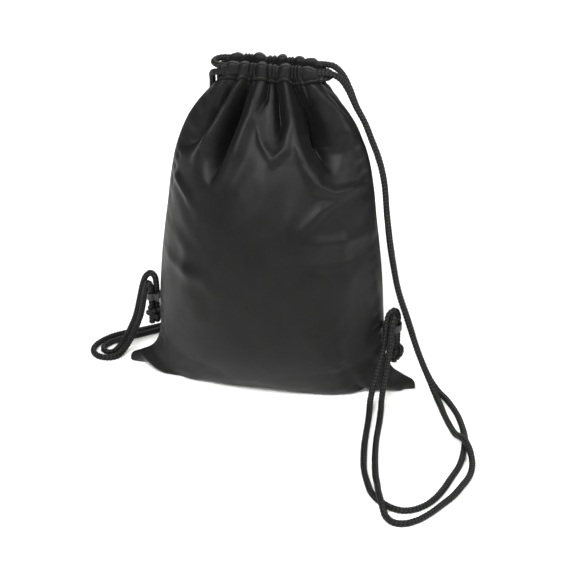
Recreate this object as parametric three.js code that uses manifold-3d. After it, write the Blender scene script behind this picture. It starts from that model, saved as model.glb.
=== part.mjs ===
// Drawstring backpack: a stuffed two-panel cloth bag that stands on its base, with a gathered
// mouth and two cords. Millimetres, +Z up, the front panel faces -Y, origin under the middle.
import * as THREE from 'three';
import Module from 'manifold-3d';
import { mergeVertices } from 'three/addons/utils/BufferGeometryUtils.js';

const wasm = await Module();
wasm.setup();

// ---- driving dimensions -------------------------------------------------------------------
const GAP = 0.3;
const CLOTH = 2;
const PANEL_TOP = 378;
const HEM_BOTTOM = PANEL_TOP + GAP;
const HEM_TOP = 404;
const HEM_HALF_WIDTH = 53;
const MOUTH_LEAN = 42;
const MOUTH_SHIFT = -6;
const HEM_OFFSET = 14;
const HEM_HALF_DEPTH = 5.5;
const HEM_HOLE_HALF_DEPTH = 4;
const HEM_HOLE_LOW = 385.8;
const HEM_HOLE_HIGH = 401.6;
const CORD_RADIUS = 3.5;
const CORD_SIDES = 8;
const CORD_LOW = 389.8;
const CORD_HIGH = 397.6;
const CORD_OUT_OF_HEM = 3;
const CORD_STEP = 15.5;
const TAB_HOLE = [4.2, 8];
const TAB_TAPE = 1.5;
const TAB_TAPE_WIDTH = 9;
const KNOT_RADII = [8.6, 10.8, 9];
const KNOT_SLOT = [3.9, 7.7];
const BINDING_WIDTH = 7;
const BINDING_THICKNESS = 1.6;

// Side seam of the stuffed bag, from the corner ear up to the hem: half width and height.
const SEAM = [
  [180, 3], [176, 10], [168, 19], [157, 28], [147, 37], [142, 51], [141.5, 80], [140, 118],
  [137, 160], [133, 195], [129, 225], [125, 260], [119, 292], [107, 324], [94, 345],
  [76, 365], [60, PANEL_TOP],
];
// Middle of a panel, from the bottom seam up to the hem: depth from the seam plane and height.
// The heights below zero are pressed flat by the floor.
const FRONT_MIDDLE = [
  [0, -4], [24, -4], [41, 6], [62, 36], [79, 76], [88, 115], [91, 150], [89, 195],
  [82, 240], [69, 285], [51, 325], [31, 355], [HEM_OFFSET, PANEL_TOP],
];
const BACK_MIDDLE = [
  [0, -4], [24, -4], [39, 6], [57, 36], [70, 76], [77, 115], [78, 150], [74, 195],
  [66, 240], [54, 285], [41, 325], [26, 355], [HEM_OFFSET, PANEL_TOP],
];
const SECTION_POWERS = [[0, 4.5], [0.18, 2.6], [0.45, 2.1], [0.8, 2.4], [1, 7]];
const SECTION_ROUNDNESS = 0.75;
const PANEL_COLUMNS = 26;
const PANEL_ROWS = 25;

const TABS = {
  right: { centre: [156, -2.2], root: [142.6, 2.3], low: 82.5 },
  left: { centre: [-151, 11], root: [-142.5, 2.9], low: 88 },
};
const KNOTS = { right: 55, left: 69 };

// ---- colours ------------------------------------------------------------------------------
const CLOTH_LOOK = { color: 0x1b1b1b, roughness: 0.75, metalness: 0 };
const CORD_LOOK = { color: 0x141413, roughness: 0.85, metalness: 0 };
const THREAD_LOOK = { color: 0x222222, roughness: 0.8, metalness: 0 };

// ---- small helpers ------------------------------------------------------------------------
const smooth = (x, low, high) => THREE.MathUtils.smoothstep(x, low, high);
const lean = (z) => MOUTH_LEAN * Math.min(z / PANEL_TOP, 1) ** 2;
const shift = (z) => MOUTH_SHIFT * Math.min(Math.max(z, 0) / PANEL_TOP, 1) ** 3;

function curve(points) {
  const list = points.map((p) => new THREE.Vector3(p[0], p[1], p[2] ?? 0));
  return new THREE.CatmullRomCurve3(list, false, 'centripetal');
}

function table(pairs, x) {
  const next = pairs.findIndex((pair) => pair[0] >= x);
  if (next <= 0) return pairs[0][1];
  const [x0, y0] = pairs[next - 1];
  const [x1, y1] = pairs[next];
  return y0 + ((y1 - y0) * (x - x0)) / (x1 - x0);
}

function mapVertices(geometry, place) {
  const position = geometry.getAttribute('position');
  const point = new THREE.Vector3();
  for (let i = 0; i < position.count; i += 1) {
    point.fromBufferAttribute(position, i);
    const [x, y, z] = place(point.x, point.y, point.z);
    position.setXYZ(i, x, y, z);
  }
  geometry.computeVertexNormals();
  return geometry;
}

function solid(geometry) {
  const bare = geometry.clone();
  bare.deleteAttribute('normal');
  bare.deleteAttribute('uv');
  const merged = mergeVertices(bare, 1e-4);
  return new wasm.Manifold(new wasm.Mesh({
    numProp: 3,
    vertProperties: Float32Array.from(merged.getAttribute('position').array),
    triVerts: Uint32Array.from(merged.getIndex().array),
  }));
}

function geometryOf(body) {
  const mesh = body.getMesh();
  const geometry = new THREE.BufferGeometry();
  geometry.setAttribute('position', new THREE.BufferAttribute(mesh.vertProperties, 3));
  geometry.setIndex(new THREE.BufferAttribute(mesh.triVerts, 1));
  geometry.computeVertexNormals();
  return geometry;
}

const group = new THREE.Group();
group.name = 'drawstring_backpack';

function add(name, geometry, look) {
  const mesh = new THREE.Mesh(geometry, new THREE.MeshStandardMaterial(look));
  mesh.name = name;
  group.add(mesh);
}

// ---- cloth panels -------------------------------------------------------------------------
const seamCurve = curve(SEAM);

// A point of one panel's outer face; across runs -1..1 between the seams, up runs 0..1.
function panelPoint(middle, side, across, up) {
  const edge = seamCurve.getPointAt(up);
  const centre = middle.getPointAt(up);
  const power = table(SECTION_POWERS, up);
  const weight = Math.max(1 - Math.abs(across) ** power, 0) ** SECTION_ROUNDNESS;
  const z = Math.max(edge.y + (centre.y - edge.y) * weight, 0);
  const flatness = (1 - smooth(Math.abs(across), 0.6, 0.85)) * (1 - smooth(up, 0, 0.04));
  const depth = GAP / 2 + CLOTH * (1 - flatness) + centre.x * weight;
  return new THREE.Vector3(edge.x * across + shift(z), lean(z) + side * depth, z);
}

function panel(middlePoints, side) {
  const middle = curve(middlePoints);
  const box = new THREE.BoxGeometry(2, 1, 1, PANEL_COLUMNS, PANEL_ROWS, 1);
  const widest = 0.96;
  return mapVertices(box, (bx, by, bz) => {
    const turn = (Math.PI / 2) * widest;
    const at = (t, v) => {
      const across = Math.sin(turn * t) / Math.sin(turn);
      return panelPoint(middle, side, across, v);
    };
    const up = by + 0.5;
    const outer = at(bx, up);
    if (bz > 0 === side < 0) return [outer.x, outer.y, Math.min(outer.z, PANEL_TOP)];
    const step = 0.004;
    const left = at(Math.max(bx - step, -1), up);
    const right = at(Math.min(bx + step, 1), up);
    const below = at(bx, Math.max(up - step, 0));
    const above = at(bx, Math.min(up + step, 1));
    const inward = right.sub(left).cross(above.sub(below)).normalize().multiplyScalar(side);
    const inner = outer.clone().addScaledVector(inward, CLOTH);
    const limit = lean(inner.z) + (side * GAP) / 2;
    const y = side < 0 ? Math.min(inner.y, limit) : Math.max(inner.y, limit);
    return [inner.x, y, Math.min(Math.max(inner.z, CLOTH), PANEL_TOP)];
  });
}

// ---- hems ---------------------------------------------------------------------------------
function hem(side) {
  const outline = new THREE.Shape();
  const half = HEM_HALF_DEPTH;
  outline.moveTo(-1.2, HEM_BOTTOM);
  outline.lineTo(1.2, HEM_BOTTOM);
  outline.lineTo(half, HEM_BOTTOM + 6.5);
  outline.lineTo(half, HEM_TOP - 4);
  outline.lineTo(half - 2.2, HEM_TOP - 0.6);
  outline.lineTo(0, HEM_TOP);
  outline.lineTo(-half + 2.2, HEM_TOP - 0.6);
  outline.lineTo(-half, HEM_TOP - 4);
  outline.lineTo(-half, HEM_BOTTOM + 6.5);
  const hole = new THREE.Path();
  hole.moveTo(-HEM_HOLE_HALF_DEPTH, HEM_HOLE_LOW);
  hole.lineTo(-HEM_HOLE_HALF_DEPTH, HEM_HOLE_HIGH - 1);
  hole.lineTo(0, HEM_HOLE_HIGH);
  hole.lineTo(HEM_HOLE_HALF_DEPTH, HEM_HOLE_HIGH - 1);
  hole.lineTo(HEM_HOLE_HALF_DEPTH, HEM_HOLE_LOW);
  outline.holes.push(hole);
  const gathers = 9;
  const steps = 36;
  const depth = 2 * HEM_HALF_WIDTH;
  const bar = new THREE.ExtrudeGeometry(outline, { depth, steps, bevelEnabled: false });
  return mapVertices(bar, (px, py, pz) => {
    const outside = Math.abs(px) > HEM_HOLE_HALF_DEPTH + 0.1;
    const ruffle = outside ? 1 + 0.09 * Math.sin((2 * Math.PI * gathers * pz) / depth) : 1;
    const y = MOUTH_LEAN + side * HEM_OFFSET + px * ruffle;
    return [MOUTH_SHIFT - HEM_HALF_WIDTH + pz, y, py];
  });
}

function box(size, centre, turn = 0) {
  const geometry = new THREE.BoxGeometry(...size);
  geometry.rotateZ(turn);
  geometry.translate(...centre);
  return geometry;
}

// ---- seam bindings ------------------------------------------------------------------------
function sideBinding(side) {
  const low = 0.24;
  const high = 0.94;
  const strip = new THREE.BoxGeometry(1, 1, 1, 1, 24, 1);
  return mapVertices(strip, (bx, by, bz) => {
    const up = low + (high - low) * (by + 0.5);
    const edge = seamCurve.getPointAt(up);
    const along = seamCurve.getTangentAt(up);
    const inset = CLOTH + 2.5 + (bx + 0.5) * BINDING_WIDTH;
    const z = edge.y - inset * along.x;
    const x = edge.x - inset * along.y;
    return [side * x + shift(z), lean(z) + side * bz * BINDING_THICKNESS, z];
  });
}

// ---- cords --------------------------------------------------------------------------------
const section = new THREE.Shape();
for (let i = 0; i < CORD_SIDES; i += 1) {
  const angle = (2 * Math.PI * i) / CORD_SIDES;
  section[i === 0 ? 'moveTo' : 'lineTo'](
    CORD_RADIUS * Math.cos(angle),
    CORD_RADIUS * Math.sin(angle),
  );
}

function cord(path, stepLength = CORD_STEP) {
  const steps = Math.min(Math.ceil(path.getLength() / stepLength), 80);
  path.arcLengthDivisions = 2000;
  return new THREE.ExtrudeGeometry(section, { steps, extrudePath: path, bevelEnabled: false });
}

// The stretch of a cord inside the two hems, with its turn outside the far end of the mouth.
function hemRun(exitSide, height) {
  const exitX = MOUTH_SHIFT + exitSide * (HEM_HALF_WIDTH + CORD_OUT_OF_HEM);
  const turnX = MOUTH_SHIFT - exitSide * (HEM_HALF_WIDTH + CORD_OUT_OF_HEM);
  const front = MOUTH_LEAN - HEM_OFFSET;
  const back = MOUTH_LEAN + HEM_OFFSET;
  const points = [[exitX, front, height], [turnX, front, height]];
  const turnSteps = 6;
  for (let i = 1; i < turnSteps; i += 1) {
    const angle = (Math.PI * i) / turnSteps;
    const x = turnX - exitSide * HEM_OFFSET * Math.sin(angle);
    points.push([x, MOUTH_LEAN - HEM_OFFSET * Math.cos(angle), height]);
  }
  points.push([turnX, back, height], [exitX, back, height]);
  const path = new THREE.CurvePath();
  for (let i = 1; i < points.length; i += 1) {
    const from = new THREE.Vector3(...points[i - 1]);
    path.add(new THREE.LineCurve3(from, new THREE.Vector3(...points[i])));
  }
  return path;
}

// Each strand runs from its hem exit, over its tab, down through the tab and the knot.
const RIGHT_FRONT = [
  [50.3, 28, 397.6], [54, 28, 397.6], [65.5, 29.5, 396.8], [77, 34.5, 389], [85, 37.5, 376],
  [96, 35, 355], [107, 31, 338], [116, 27, 319], [125, 23, 299], [133.5, 17, 272], [139, 11.5, 230],
  [144, 6.5, 197], [150, 3.5, 165], [157, 1.5, 134], [169, -1.5, 100], [185, -4.5, 54],
  [200, -8, 20], [210, -18, 5], [216, -32, 3.6], [224, -54, 3.6], [234, -78, 3.6],
  [243, -98, 5], [251, -113, 10.5], [257, -122, 12.4], [263, -133, 10.5], [269, -150, 5],
  [271, -167, 3.6], [270, -185, 3.6], [264, -207, 3.6], [257, -228, 3.6], [247, -248, 3.6],
  [236, -268, 3.6], [224, -284, 3.6], [211, -293, 3.6], [199, -293, 3.6], [189, -284, 4.5],
  [182, -269, 10.5], [176.5, -254, 12.6], [173, -240, 10], [170, -224, 5], [165, -205, 3.6],
  [160, -178, 3.6], [156, -150, 3.6], [153, -122, 3.6], [151, -92, 3.6], [149, -68, 5],
  [147.5, -52, 12], [148, -42, 27], [149.5, -35, 43], [151, -30, 58], [152.5, -25, 74],
  [152.8, -21, 90], [153.8, -16.5, 101.5], [154.6, -11.2, 105.5], [154.8, -7, 100.5],
  [154.8, -5.8, 92], [154.8, -5.8, 75], [154.8, -5.8, 58], [154.8, -5.8, 42],
];
const RIGHT_BACK = [
  [50.3, 56, 397.6], [54, 56, 397.6], [65.5, 54, 396.8], [77, 48, 389.5], [85.5, 45.5, 375],
  [95.5, 42.5, 352], [106, 38.5, 335], [115, 34.5, 316], [124, 30.5, 296], [132.5, 24.5, 269], [138, 19, 227],
  [143, 14, 194], [149, 11, 162], [156, 9, 131], [168, 6, 97], [184, 3.5, 51],
  [199, 1, 18], [211, -5, 5], [221, -17, 3.6], [231, -34, 3.6], [241, -55, 3.6],
  [250, -82, 3.6], [255.5, -105, 3.6], [257, -122, 3.6], [257.5, -142, 3.6],
  [256, -165, 3.6], [250, -193, 3.6], [244, -219, 3.6], [237, -239, 3.6], [228, -254, 3.6],
  [217, -264, 3.6], [206, -268, 3.6], [195, -266, 3.6], [185, -260.5, 3.6], [176, -253, 3.6],
  [166, -240, 3.6], [157, -218, 3.6], [150, -195, 3.6], [145, -167, 3.6], [141, -136, 3.6],
  [139, -112, 3.6], [137, -86, 3.6], [135, -66, 4.5], [134, -53, 12], [136, -44, 27],
  [139, -37, 42], [142, -30, 56], [144.5, -23, 70], [145.5, -17, 84], [145.5, -10.5, 96],
  [148, -4.5, 106], [153.5, 0, 109], [157, 1.4, 102], [157.2, 1.4, 92],
  [157.2, 1.4, 75], [157.2, 1.4, 58], [157.2, 1.4, 42],
];
const LEFT_FRONT = [
  [-62.3, 28, 389.8], [-65.5, 28, 389.8], [-72.5, 30.5, 388.3], [-77.5, 37.5, 383.5],
  [-80, 48, 372], [-83, 58, 352], [-86.5, 68, 318], [-88, 73.5, 270], [-88, 78, 220], [-87, 79.5, 165], [-87, 80, 110],
  [-87, 81, 60], [-87, 84, 28], [-82, 91.5, 10], [-70, 101, 4.2], [-40, 111, 3.6],
  [0, 119, 3.6], [35, 125, 3.6], [57, 133, 3.6], [65, 146, 3.6], [57, 159, 3.6],
  [35, 166, 3.6], [0, 167, 3.6], [-50, 160, 3.6], [-95, 142, 3.6], [-130, 116, 3.6],
  [-155, 91, 3.6], [-176, 73, 3.6], [-187, 64, 3.6], [-200, 54, 3.6], [-211, 45, 3.6],
  [-219, 35, 3.6], [-223, 25, 3.6], [-221, 16, 3.6], [-214, 11.5, 3.6], [-208, 15, 3.6],
  [-204.5, 23, 4.5], [-200, 29.5, 10], [-194, 31.5, 20], [-188.5, 31, 32], [-183, 29.5, 45],
  [-179, 28, 58], [-175.5, 27, 73], [-172, 25.5, 88], [-168.5, 23.5, 101], [-163.5, 21, 113],
  [-156, 17.5, 120], [-150.5, 15, 117], [-148.3, 13.7, 108], [-148.3, 13.7, 90],
  [-148.3, 13.7, 72], [-148.3, 13.7, 55],
];
const LEFT_BACK = [
  [-62.3, 56, 389.8], [-65, 56, 389.8], [-70.5, 57.5, 387.5], [-74, 61.5, 379], [-75.5, 67, 362],
  [-76.5, 72.5, 340], [-78.5, 77, 310], [-80, 81, 268], [-80, 83, 220], [-79, 84, 165], [-79, 84, 110],
  [-79, 84.5, 60], [-77.5, 85.5, 28], [-71.5, 88.5, 11], [-58, 95.5, 4.4], [-38, 103.4, 3.6],
  [2, 111, 3.6], [38, 117, 3.6], [64, 127, 3.6], [74, 146, 3.6], [63, 166, 3.6],
  [36, 174, 3.6], [-1, 175, 3.6], [-53, 168, 3.6], [-100, 149, 3.6], [-136, 123, 3.6],
  [-161, 98, 3.6], [-181, 82, 3.6], [-192, 74, 3.6], [-206, 65, 3.6], [-218, 55, 3.6],
  [-228, 42, 3.6], [-234, 27, 3.6], [-234, 13, 3.6], [-228, 3, 3.6], [-218, -2, 3.6],
  [-208, -1, 3.6], [-200, 6, 3.6], [-195.5, 15, 5.5], [-190.5, 20, 13], [-184.5, 22.5, 24],
  [-179, 22, 37], [-174, 20.5, 50], [-170, 19, 63], [-167, 17.5, 78], [-164, 15.5, 92],
  [-161, 13, 103], [-157.5, 10.2, 109.5], [-154.6, 8.6, 107], [-153.7, 8.3, 100],
  [-153.7, 8.3, 86], [-153.7, 8.3, 70], [-153.7, 8.3, 55],
];

// ---- tabs and knots -----------------------------------------------------------------------
function frameOf(tab) {
  const [dx, dy] = [tab.centre[0] - tab.root[0], tab.centre[1] - tab.root[1]];
  return { turn: Math.atan2(dy, dx), reach: Math.hypot(dx, dy) };
}

function roundedRectangle(path, halfX, halfY, corner) {
  path.moveTo(halfX, -halfY + corner);
  path.lineTo(halfX, halfY - corner);
  path.lineTo(halfX - corner, halfY);
  path.lineTo(-halfX + corner, halfY);
  path.lineTo(-halfX, halfY - corner);
}

// A folded tape: a loop round the two strands and a doubled stem that is sewn to the seam.
function tabLoop(tab) {
  const { turn, reach } = frameOf(tab);
  const [holeX, holeY] = TAB_HOLE;
  const [loopX, loopY] = [holeX + TAB_TAPE, holeY + TAB_TAPE];
  const outline = new THREE.Shape();
  roundedRectangle(outline, loopX, loopY, 3.5);
  outline.lineTo(-loopX, TAB_TAPE);
  outline.lineTo(-reach, TAB_TAPE);
  outline.lineTo(-reach, -TAB_TAPE);
  outline.lineTo(-loopX, -TAB_TAPE);
  outline.lineTo(-loopX, -loopY + 3.5);
  outline.lineTo(-loopX + 3.5, -loopY);
  outline.lineTo(loopX - 3.5, -loopY);
  const hole = new THREE.Path();
  roundedRectangle(hole, holeX, holeY, 1);
  hole.lineTo(-holeX, -holeY + 1);
  hole.lineTo(-holeX + 1, -holeY);
  hole.lineTo(holeX - 1, -holeY);
  outline.holes.push(hole);
  const loop = new THREE.ExtrudeGeometry(outline, { depth: TAB_TAPE_WIDTH, bevelEnabled: false });
  loop.rotateZ(turn);
  loop.translate(tab.centre[0], tab.centre[1], tab.low);
  return loop;
}

function tabBartack(tab) {
  const { turn, reach } = frameOf(tab);
  const geometry = new THREE.BoxGeometry(1.6, 0.9, TAB_TAPE_WIDTH - 2);
  const side = tab.centre[0] > 0 ? -1 : 1;
  geometry.translate(-reach + 4.2, side * (TAB_TAPE + GAP + 0.45), 0);
  geometry.rotateZ(turn);
  geometry.translate(tab.centre[0], tab.centre[1], tab.low + TAB_TAPE_WIDTH / 2);
  return geometry;
}

function knot(tab, height) {
  const lump = new THREE.SphereGeometry(1, 24, 16);
  lump.scale(...KNOT_RADII);
  const slotShape = new THREE.Shape();
  const [slotX, slotY] = KNOT_SLOT;
  roundedRectangle(slotShape, slotX, slotY, 1.4);
  slotShape.lineTo(-slotX, -slotY + 1.4);
  slotShape.lineTo(-slotX + 1.4, -slotY);
  slotShape.lineTo(slotX - 1.4, -slotY);
  const depth = 4 * KNOT_RADII[2];
  const slot = new THREE.ExtrudeGeometry(slotShape, { depth, bevelEnabled: false });
  slot.translate(0, 0, -depth / 2);
  const geometry = geometryOf(solid(lump).subtract(solid(slot)));
  geometry.rotateZ(frameOf(tab).turn);
  geometry.translate(tab.centre[0], tab.centre[1], height);
  return geometry;
}

// ---- assembly -----------------------------------------------------------------------------
add('front_panel', panel(FRONT_MIDDLE, -1), CLOTH_LOOK);
add('back_panel', panel(BACK_MIDDLE, 1), CLOTH_LOOK);
add('front_hem', hem(-1), CLOTH_LOOK);
add('back_hem', hem(1), CLOTH_LOOK);

const stitchSize = [2 * HEM_HALF_WIDTH - 2, 0.8, 1];
const stitchOffset = HEM_OFFSET + 3.4;
const stitchHeight = HEM_BOTTOM + 1.2;
add('front_hem_stitching', box(stitchSize,
  [MOUTH_SHIFT, MOUTH_LEAN - stitchOffset, stitchHeight]), THREAD_LOOK);
add('back_hem_stitching', box(stitchSize,
  [MOUTH_SHIFT, MOUTH_LEAN + stitchOffset, stitchHeight]), THREAD_LOOK);

add('left_seam_binding', sideBinding(-1), CLOTH_LOOK);
add('right_seam_binding', sideBinding(1), CLOTH_LOOK);
add('bottom_seam_binding', box([230, BINDING_THICKNESS, BINDING_WIDTH],
  [0, 0, CLOTH + GAP + BINDING_WIDTH / 2]), CLOTH_LOOK);

const bartackSize = [5, 9, 5];
for (const [name, side] of [['left', -1], ['right', 1]]) {
  const x = MOUTH_SHIFT + side * (HEM_HALF_WIDTH - 3);
  const centre = [x, MOUTH_LEAN, HEM_BOTTOM + bartackSize[2] / 2];
  add(`${name}_mouth_bartack`, box(bartackSize, centre), THREAD_LOOK);
}

for (const [name, tab] of Object.entries(TABS)) {
  add(`${name}_tab`, tabLoop(tab), CLOTH_LOOK);
  add(`${name}_tab_bartack`, tabBartack(tab), THREAD_LOOK);
  add(`${name}_knot`, knot(tab, KNOTS[name]), CORD_LOOK);
}

add('right_cord_hem_run', cord(hemRun(1, CORD_HIGH), 6), CORD_LOOK);
add('left_cord_hem_run', cord(hemRun(-1, CORD_LOW), 6), CORD_LOOK);
add('right_cord_front_strand', cord(curve(RIGHT_FRONT)), CORD_LOOK);
add('right_cord_back_strand', cord(curve(RIGHT_BACK)), CORD_LOOK);
add('left_cord_front_strand', cord(curve(LEFT_FRONT)), CORD_LOOK);
add('left_cord_back_strand', cord(curve(LEFT_BACK)), CORD_LOOK);

export default group;
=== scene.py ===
import math

import bpy
import numpy as np
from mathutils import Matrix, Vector


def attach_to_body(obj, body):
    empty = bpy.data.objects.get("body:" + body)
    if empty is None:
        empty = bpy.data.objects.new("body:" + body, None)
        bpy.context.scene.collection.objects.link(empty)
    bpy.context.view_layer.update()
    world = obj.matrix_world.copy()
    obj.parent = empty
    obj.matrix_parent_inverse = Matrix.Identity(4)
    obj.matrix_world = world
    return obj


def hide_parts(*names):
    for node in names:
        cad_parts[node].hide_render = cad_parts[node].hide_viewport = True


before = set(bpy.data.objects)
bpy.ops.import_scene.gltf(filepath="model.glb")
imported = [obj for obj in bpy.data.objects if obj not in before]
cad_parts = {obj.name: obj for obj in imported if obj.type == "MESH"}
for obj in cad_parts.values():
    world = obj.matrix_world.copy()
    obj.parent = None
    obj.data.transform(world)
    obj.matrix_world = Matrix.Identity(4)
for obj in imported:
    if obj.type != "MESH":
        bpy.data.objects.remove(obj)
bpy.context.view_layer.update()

# ---- sizes, in metres ---------------------------------------------------------------------
PANEL_TOP = 0.378
HEM_TOP = 0.404
HEM_HALF_WIDTH = 0.053
HEM_END_GAP = 0.003
MOUTH_LEAN = 0.042
MOUTH_SHIFT = -0.006
HEM_OFFSET = 0.014
CORD = 0.007
CORD_LOW = 0.3898
CORD_HIGH = 0.3976
FLAT_WIDTH = 0.36
FLAT_HEIGHT = 0.46
SEAM = [
    (0.181, 0.003), (0.1815, 0.009), (0.178, 0.0155), (0.167, 0.0205), (0.151, 0.030),
    (0.142, 0.051), (0.1415, 0.080), (0.140, 0.118), (0.137, 0.160), (0.133, 0.195),
    (0.129, 0.225), (0.125, 0.260), (0.119, 0.292), (0.107, 0.324), (0.094, 0.345),
    (0.076, 0.365), (0.060, 0.378),
]
FRONT_MIDDLE = [
    (0, -0.004), (0.024, -0.004), (0.041, 0.006), (0.062, 0.036), (0.079, 0.076),
    (0.088, 0.115), (0.091, 0.150), (0.089, 0.195), (0.082, 0.240), (0.069, 0.285),
    (0.051, 0.325), (0.031, 0.355), (0.014, 0.378),
]
BACK_MIDDLE = [
    (0, -0.004), (0.024, -0.004), (0.039, 0.006), (0.057, 0.036), (0.070, 0.076),
    (0.077, 0.115), (0.078, 0.150), (0.074, 0.195), (0.066, 0.240), (0.054, 0.285),
    (0.041, 0.325), (0.026, 0.355), (0.014, 0.378),
]
SECTION_POWERS = ([0, 0.18, 0.45, 0.8, 1], [4.5, 2.6, 2.1, 2.4, 7])

# Each strand of a cord, from its hem exit, over its tab and down through tab and knot.
RIGHT_FRONT = [
    (0.0503, 0.028, 0.3976), (0.054, 0.028, 0.3976), (0.0655, 0.0295, 0.3968),
    (0.077, 0.0345, 0.389), (0.085, 0.0375, 0.376), (0.096, 0.035, 0.355), (0.107, 0.031, 0.338),
    (0.116, 0.027, 0.319), (0.125, 0.023, 0.299), (0.1335, 0.017, 0.272), (0.139, 0.0115, 0.23),
    (0.144, 0.0065, 0.197), (0.15, 0.0035, 0.165), (0.157, 0.0015, 0.134), (0.169, -0.0015, 0.1),
    (0.185, -0.0045, 0.054), (0.2, -0.008, 0.02), (0.21, -0.018, 0.005), (0.216, -0.032, 0.0036),
    (0.224, -0.054, 0.0036), (0.234, -0.078, 0.0036), (0.243, -0.098, 0.005),
    (0.251, -0.113, 0.0105), (0.257, -0.122, 0.0124), (0.263, -0.133, 0.0105),
    (0.269, -0.15, 0.005), (0.271, -0.167, 0.0036), (0.27, -0.185, 0.0036),
    (0.264, -0.207, 0.0036), (0.257, -0.228, 0.0036), (0.247, -0.248, 0.0036),
    (0.236, -0.268, 0.0036), (0.224, -0.284, 0.0036), (0.211, -0.293, 0.0036),
    (0.199, -0.293, 0.0036), (0.189, -0.284, 0.0045), (0.182, -0.269, 0.0105),
    (0.1765, -0.254, 0.0126), (0.173, -0.24, 0.01), (0.17, -0.224, 0.005),
    (0.165, -0.205, 0.0036), (0.16, -0.178, 0.0036), (0.156, -0.15, 0.0036),
    (0.153, -0.122, 0.0036), (0.151, -0.092, 0.0036), (0.149, -0.068, 0.005),
    (0.1475, -0.052, 0.012), (0.148, -0.042, 0.027), (0.1495, -0.035, 0.043),
    (0.151, -0.03, 0.058), (0.1525, -0.025, 0.074), (0.1528, -0.021, 0.09),
    (0.1538, -0.0165, 0.1015), (0.1546, -0.0112, 0.1055), (0.1548, -0.007, 0.1005),
    (0.1548, -0.0058, 0.092), (0.1548, -0.0058, 0.075), (0.1548, -0.0058, 0.058),
    (0.1548, -0.0058, 0.042),
]
RIGHT_BACK = [
    (0.0503, 0.056, 0.3976), (0.054, 0.056, 0.3976), (0.0655, 0.054, 0.3968),
    (0.077, 0.048, 0.3895), (0.0855, 0.0455, 0.375), (0.0955, 0.0425, 0.352),
    (0.106, 0.0385, 0.335), (0.115, 0.0345, 0.316), (0.124, 0.0305, 0.296),
    (0.1325, 0.0245, 0.269), (0.138, 0.019, 0.227), (0.143, 0.014, 0.194), (0.149, 0.011, 0.162),
    (0.156, 0.009, 0.131), (0.168, 0.006, 0.097), (0.184, 0.0035, 0.051), (0.199, 0.001, 0.018),
    (0.211, -0.005, 0.005), (0.221, -0.017, 0.0036), (0.231, -0.034, 0.0036),
    (0.241, -0.055, 0.0036), (0.25, -0.082, 0.0036), (0.2555, -0.105, 0.0036),
    (0.257, -0.122, 0.0036), (0.2575, -0.142, 0.0036), (0.256, -0.165, 0.0036),
    (0.25, -0.193, 0.0036), (0.244, -0.219, 0.0036), (0.237, -0.239, 0.0036),
    (0.228, -0.254, 0.0036), (0.217, -0.264, 0.0036), (0.206, -0.268, 0.0036),
    (0.195, -0.266, 0.0036), (0.185, -0.2605, 0.0036), (0.176, -0.253, 0.0036),
    (0.166, -0.24, 0.0036), (0.157, -0.218, 0.0036), (0.15, -0.195, 0.0036),
    (0.145, -0.167, 0.0036), (0.141, -0.136, 0.0036), (0.139, -0.112, 0.0036),
    (0.137, -0.086, 0.0036), (0.135, -0.066, 0.0045), (0.134, -0.053, 0.012),
    (0.136, -0.044, 0.027), (0.139, -0.037, 0.042), (0.142, -0.03, 0.056), (0.1445, -0.023, 0.07),
    (0.1455, -0.017, 0.084), (0.1455, -0.0105, 0.096), (0.148, -0.0045, 0.106),
    (0.1535, 0, 0.109), (0.157, 0.0014, 0.102), (0.1572, 0.0014, 0.092), (0.1572, 0.0014, 0.075),
    (0.1572, 0.0014, 0.058), (0.1572, 0.0014, 0.042),
]
LEFT_FRONT = [
    (-0.0623, 0.028, 0.3898), (-0.0655, 0.028, 0.3898), (-0.0725, 0.0305, 0.3883),
    (-0.0775, 0.0375, 0.3835), (-0.08, 0.048, 0.372), (-0.083, 0.058, 0.352),
    (-0.0865, 0.068, 0.318), (-0.088, 0.0735, 0.27), (-0.088, 0.078, 0.22),
    (-0.087, 0.0795, 0.165), (-0.087, 0.08, 0.11), (-0.087, 0.081, 0.06), (-0.087, 0.084, 0.028),
    (-0.082, 0.0915, 0.01), (-0.07, 0.101, 0.0042), (-0.04, 0.111, 0.0036), (0, 0.119, 0.0036),
    (0.035, 0.125, 0.0036), (0.057, 0.133, 0.0036), (0.065, 0.146, 0.0036),
    (0.057, 0.159, 0.0036), (0.035, 0.166, 0.0036), (0, 0.167, 0.0036), (-0.05, 0.16, 0.0036),
    (-0.095, 0.142, 0.0036), (-0.13, 0.116, 0.0036), (-0.155, 0.091, 0.0036),
    (-0.176, 0.073, 0.0036), (-0.187, 0.064, 0.0036), (-0.2, 0.054, 0.0036),
    (-0.211, 0.045, 0.0036), (-0.219, 0.035, 0.0036), (-0.223, 0.025, 0.0036),
    (-0.221, 0.016, 0.0036), (-0.214, 0.0115, 0.0036), (-0.208, 0.015, 0.0036),
    (-0.2045, 0.023, 0.0045), (-0.2, 0.0295, 0.01), (-0.194, 0.0315, 0.02),
    (-0.1885, 0.031, 0.032), (-0.183, 0.0295, 0.045), (-0.179, 0.028, 0.058),
    (-0.1755, 0.027, 0.073), (-0.172, 0.0255, 0.088), (-0.1685, 0.0235, 0.101),
    (-0.1635, 0.021, 0.113), (-0.156, 0.0175, 0.12), (-0.1505, 0.015, 0.117),
    (-0.1483, 0.0137, 0.108), (-0.1483, 0.0137, 0.09), (-0.1483, 0.0137, 0.072),
    (-0.1483, 0.0137, 0.055),
]
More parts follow.
